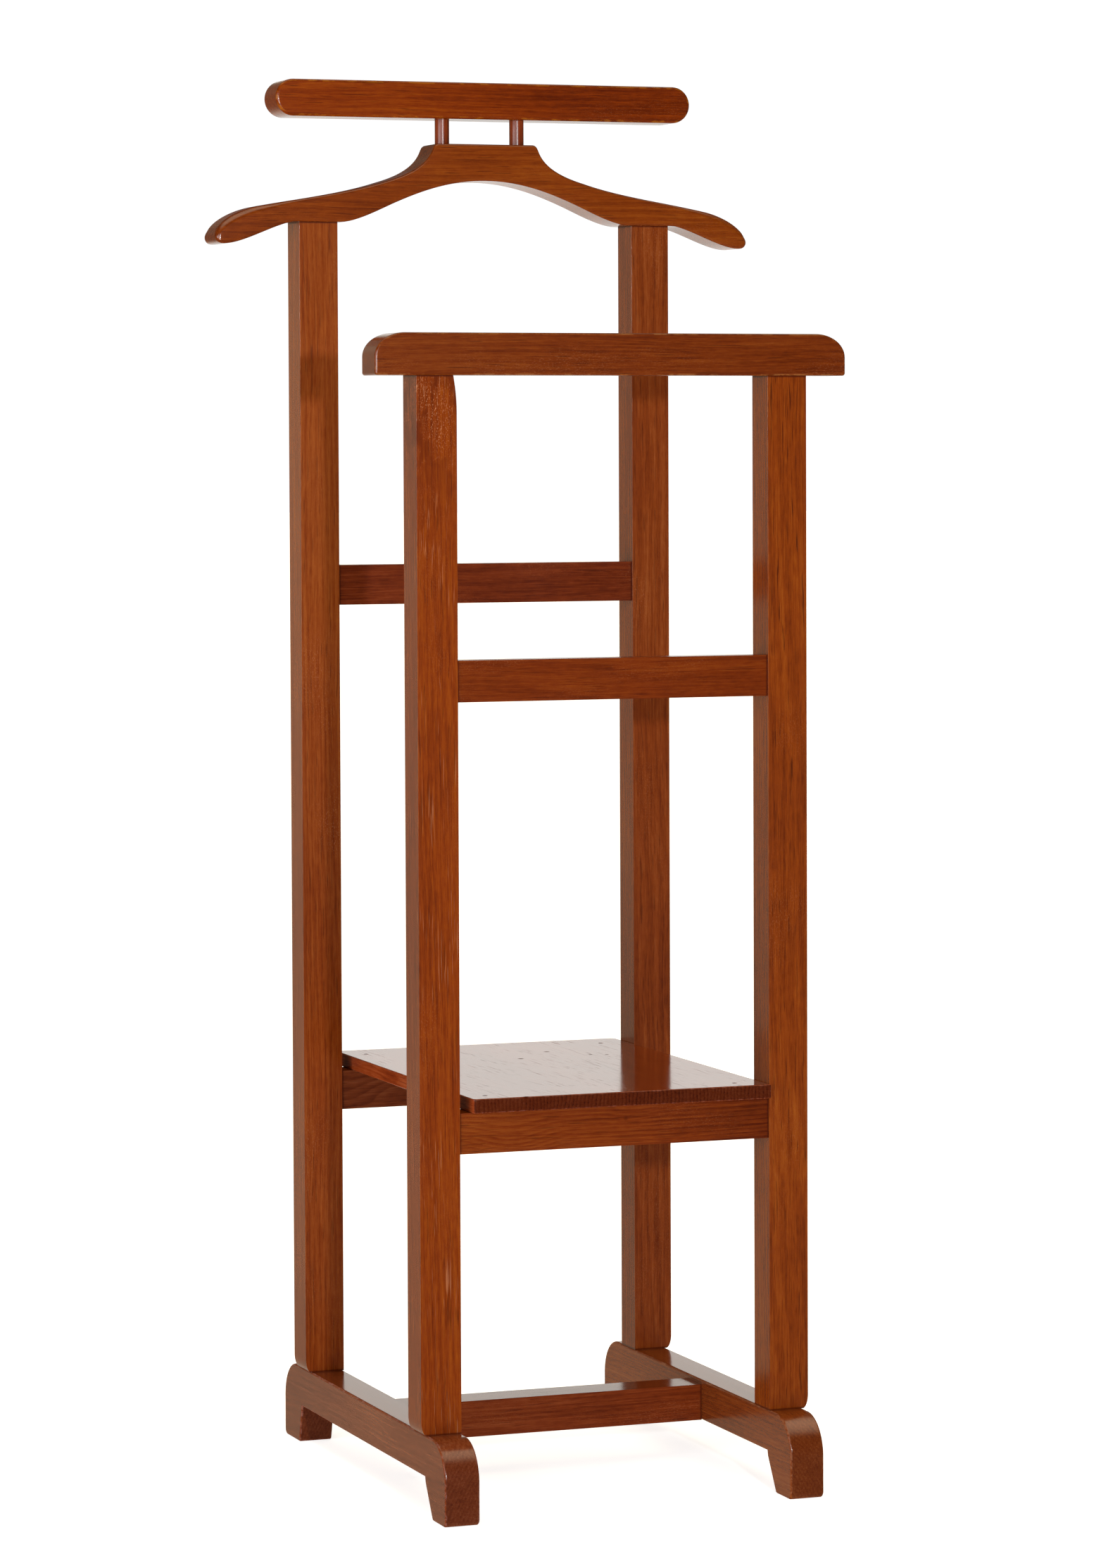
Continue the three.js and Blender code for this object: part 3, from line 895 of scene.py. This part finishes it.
def yoke_section(x, top, bottom):
    """A rounded rectangle in Y and Z, whose front and back draw in at the tips."""
    low, high = boxes["hanger_yoke"]
    middle = (low.y + high.y) / 2
    into_tip = max(0.0, abs(x) - (TIP - TIP_ROUND))
    drawn_in = TIP_ROUND - math.sqrt(max(0.0, TIP_ROUND ** 2 - into_tip ** 2))
    half = (high.y - low.y) / 2 - drawn_in
    upper, lower = yoke_radii(x, max(0.0, top - bottom))
    points = []
    for side, edge, radius, start in (
        (1, bottom, lower, -90), (1, top, -upper, 0), (-1, top, -upper, 90), (-1, bottom, lower, 180),
    ):
        size = abs(radius)
        centre = (side * (half - size), edge + radius)
        points += [(middle + y, z) for y, z in arc(centre, (size, size), start, start + 90, 7)]
    return points


def make_yoke():
    top_curve, bottom_curve = yoke_top(), yoke_bottom()
    half = yoke_stations()
    build = bmesh.new()
    rings = []
    for x in [-x for x in reversed(half[1:])] + half:
        top = height_at(top_curve, abs(x))
        bottom = height_at(bottom_curve, abs(x))
        if abs(x) > TIP - 0.01 * CLOSE:
            top = bottom = NOSE_HEIGHT
        rings.append([build.verts.new((x, y, z)) for y, z in yoke_section(x, top, bottom)])
    for ring, following in zip(rings, rings[1:]):
        for i in range(len(ring)):
            j = (i + 1) % len(ring)
            build.faces.new((ring[i], ring[j], following[j], following[i]))
    build.faces.new(reversed(rings[0]))
    build.faces.new(rings[-1])
    bmesh.ops.remove_doubles(build, verts=build.verts, dist=0.02 * CLOSE)
    bmesh.ops.recalc_face_normals(build, faces=build.faces)
    obj = object_from(build, "hanger_yoke_wood")
    smooth(obj, 40)
    look = Look(
        "X", 45, (0.77, 0.91, 0.6), pith=(0.10, 0.93), ring=0.0055, lean=0.0, streak=0.35,
        end_tone=0.75, end_gloss=0.4, bare=("+Z",),
    )
    finish_wood(obj, "hanger_yoke", look)


make_yoke()


# ---- shelf and its nails ------------------------------------------------------------------
NAILS = ("shelf_nail_front_left", "shelf_nail_front_right", "shelf_nail_rear_left", "shelf_nail_rear_right")


def nail_holes():
    """One mesh of four plugs, a little wider than the nail heads."""
    top = boxes["shelf_board"][1].z
    build = bmesh.new()
    for node in NAILS:
        low, high = boxes[node]
        radius = (high.x - low.x) / 2 + HOLE_GAP
        bmesh.ops.create_cone(
            build, cap_ends=True, segments=24, radius1=radius, radius2=radius, depth=2 * HOLE_DEPTH,
            matrix=Matrix.Translation((*box_middle(node), top)),
        )
    return object_from(build, "nail_holes")


def make_shelf():
    low, high = boxes["shelf_board"]
    top = high.z
    front = (SHELF_FRONT_CORNER, SHELF_FRONT_CORNER)
    rear = (SHELF_REAR_CORNER, SHELF_REAR_CORNER)
    outline = arc((low.x + front[0], low.y + front[1]), front, 180, 270, 6)
    outline += [(high.x, low.y)]
    outline += arc((high.x - rear[0], high.y - rear[1]), rear, 0, 90, 10)
    outline += arc((low.x + rear[0], high.y - rear[1]), rear, 90, 180, 10)
    obj = prism("shelf_board_wood", outline, "Z", low.z, top, SHELF_EASE, 3, cut=nail_holes())
    dents = (
        ((4.7 * MM, 67 * MM, top), 3.4 * MM),
        ((40 * MM, 104 * MM, top), 3.0 * MM),
        ((65 * MM, 73 * MM, top), 2.0 * MM),
        ((77 * MM, 69 * MM, top), 2.0 * MM),
        ((-74 * MM, low.y, top), 3.2 * MM),
    )
    look = Look(
        "Y", 51, (0.92, 1.0, 2.5), pith=(0.31, -0.42), ring=0.0030, lean=0.0, rings=0.2, knots=dents,
        end_tone=0.32, relief=1.2, gloss=0.12, scuff=0.55, bare=("X",), edge_rub_and_highlight=0.15,
    )
    finish_wood(obj, "shelf_board", look)


def make_nail(node, steel):
    """A point, a straight shank and a slightly domed head."""
    low, high = boxes[node]
    head = (high.x - low.x) / 2
    top = high.z
    profile = [
        (0, low.z), (SHANK_RADIUS * 0.5, low.z + NAIL_POINT[0]), (SHANK_RADIUS, low.z + NAIL_POINT[1]),
        (SHANK_RADIUS, top - HEAD_UNDERSIDE[0]), (head, top - HEAD_UNDERSIDE[1]),
        (head, top - HEAD_CROWN), (head * 0.8, top - 0.3 * HEAD_CROWN),
        (head * 0.4, top - 0.05 * HEAD_CROWN), (0, top),
    ]
    finish_piece(lathe(node + "_steel", profile, box_middle(node), 24), steel, node)


make_shelf()
old_steel = nail_steel("nail_steel")
for nail in NAILS:
    make_nail(nail, old_steel)

# ---- hidden dowels keep their CAD shape ---------------------------------------------------
dowel_wood = raw_wood("dowel_wood")
for name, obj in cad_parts.items():
    if "dowel" in name:
        obj.data.materials.clear()
        obj.data.materials.append(dowel_wood)


# ---- floor, light and camera --------------------------------------------------------------
FLOOR_RADIUS = 60.0
LAMP_DISTANCE = 4.0
CAMERA_PLACE = (-1.3967, -3.8229, 0.8063)
CAMERA_TURN = (-20.636, -2.306, -0.209)  # yaw, pitch and roll, in degrees

# Brightness of the studio in each direction, on top of the even light of the room.
ROOM_LIGHT = 0.10
BACKDROP_LIGHT = 0.95
BACKDROP_EDGE_LIGHT = 0.55
BEHIND_LEFT_LIGHT = 0.17
FRONT_LIGHT = -0.09
CEILING_LIGHT = 1.8
ROOM_COLOUR = (1.14, 1.03, 0.73, 1)
BACKDROP_COLOUR = (1.03, 1.0, 0.95, 1)


def make_floor():
    build = bmesh.new()
    bmesh.ops.create_circle(build, cap_ends=True, segments=96, radius=FLOOR_RADIUS)
    floor = object_from(build, "floor")
    material, _, shader = new_material("pale_floor")
    shader.inputs["Base Color"].default_value = (0.82, 0.82, 0.82, 1)
    shader.inputs["Roughness"].default_value = 1.0
    shader.inputs["Specular IOR Level"].default_value = 0.0
    shader.inputs["Emission Color"].default_value = (1, 1, 1, 1)
    shader.inputs["Emission Strength"].default_value = 0.72
    floor.data.materials.append(material)
    floor.visible_glossy = False


def make_world():
    """A white backdrop behind the stand, a dark room in front of it, and a bright ceiling."""
    world = bpy.data.worlds.new("studio")
    bpy.context.scene.world = world
    world.use_nodes = True
    g = Graph(world)
    direction = g.add("TexCoord").outputs["Generated"]

    def zone(towards, start, end):
        """1 in the directions near to towards, 0 away from it, between two cosines."""
        return g.step(g.vector("DOT_PRODUCT", direction, Vector(towards).normalized()), start, end)

    behind = zone((0.36, 0.93, 0.0), 0.78, 1.0)
    behind_left = zone((-0.36, 0.93, 0.0), 0.80, 0.94)
    front = zone((0.35, -0.93, 0.0), 0.50, 0.85)
    ceiling = zone((0.0, 0.0, 1.0), 0.72, 0.95)
    above_backdrop = zone((0.0, 0.0, 1.0), 0.17, 0.27)
    backdrop_edge = zone((0.0, 0.0, 1.0), 0.14, 0.18)
    backdrop = g.times(behind, g.less(above_backdrop, 1.0))
    backdrop_level = g.plus_share(backdrop_edge, BACKDROP_EDGE_LIGHT, BACKDROP_LIGHT)
    level = g.plus_share(backdrop, backdrop_level, ROOM_LIGHT)
    level = g.plus_share(behind_left, BEHIND_LEFT_LIGHT, level)
    level = g.plus_share(front, FRONT_LIGHT, level)
    level = g.plus_share(ceiling, CEILING_LIGHT, level)
    seen = g.add("LightPath").outputs["Is Camera Ray"]
    room = g.mix(backdrop, ROOM_COLOUR, BACKDROP_COLOUR)
    background = g.tree.nodes["Background"]
    g.put(background.inputs["Strength"], g.math("MAXIMUM", level, seen))
    g.put(background.inputs["Color"], g.mix(seen, room, (1, 1, 1, 1)))


def direction_to(azimuth, elevation):
    """Unit vector, azimuth degrees round from the front and elevation degrees up."""
    turn, rise = math.radians(azimuth), math.radians(elevation)
    return Vector((
        math.sin(turn) * math.cos(rise), -math.cos(turn) * math.cos(rise), math.sin(rise),
    ))


def make_lamp(name, azimuth, elevation, aim_height, size, power):
    """A rectangular lamp that faces the axis of the stand."""
    light = bpy.data.lights.new(name, "AREA")
    light.shape = "RECTANGLE"
    light.size, light.size_y = size
    light.energy = power
    away = direction_to(azimuth, elevation)
    lamp = bpy.data.objects.new(name, light)
    lamp.location = Vector((0, 0, aim_height)) + LAMP_DISTANCE * away
    lamp.rotation_euler = away.to_track_quat("Z", "Y").to_euler()
    lamp.visible_camera = False
    bpy.context.scene.collection.objects.link(lamp)


def make_camera():
    """Nearly level, 4 m away, about 21 degrees to the left of the front."""
    yaw, pitch, roll = (math.radians(angle) for angle in CAMERA_TURN)
    forward = Vector((-math.sin(yaw) * math.cos(pitch), math.cos(yaw) * math.cos(pitch), math.sin(pitch)))
    right = forward.cross(Vector((0, 0, 1))).normalized()
    up = right.cross(forward)
    tilted_right = math.cos(roll) * right + math.sin(roll) * up
    tilted_up = math.cos(roll) * up - math.sin(roll) * right
    data = bpy.data.cameras.new("camera")
    data.sensor_width = 36
    data.lens = 118.7
    data.shift_x = -0.0214
    data.shift_y = -0.0825
    data.clip_end = 200
    camera = bpy.data.objects.new("camera", data)
    turn = Matrix((tilted_right, tilted_up, -forward)).transposed()
    camera.matrix_world = Matrix.Translation(CAMERA_PLACE) @ turn.to_4x4()
    bpy.context.scene.collection.objects.link(camera)
    bpy.context.scene.camera = camera


make_floor()
make_world()
make_lamp("key", azimuth=-6.3, elevation=2.9, aim_height=0.87, size=(0.12, 0.12), power=76)
make_lamp("side_box", azimuth=-66, elevation=12, aim_height=0.6, size=(2.2, 1.8), power=66)
make_lamp("front_box", azimuth=-36, elevation=6, aim_height=0.6, size=(1.4, 1.6), power=26)
make_camera()
bpy.context.scene.view_settings.view_transform = "Standard"
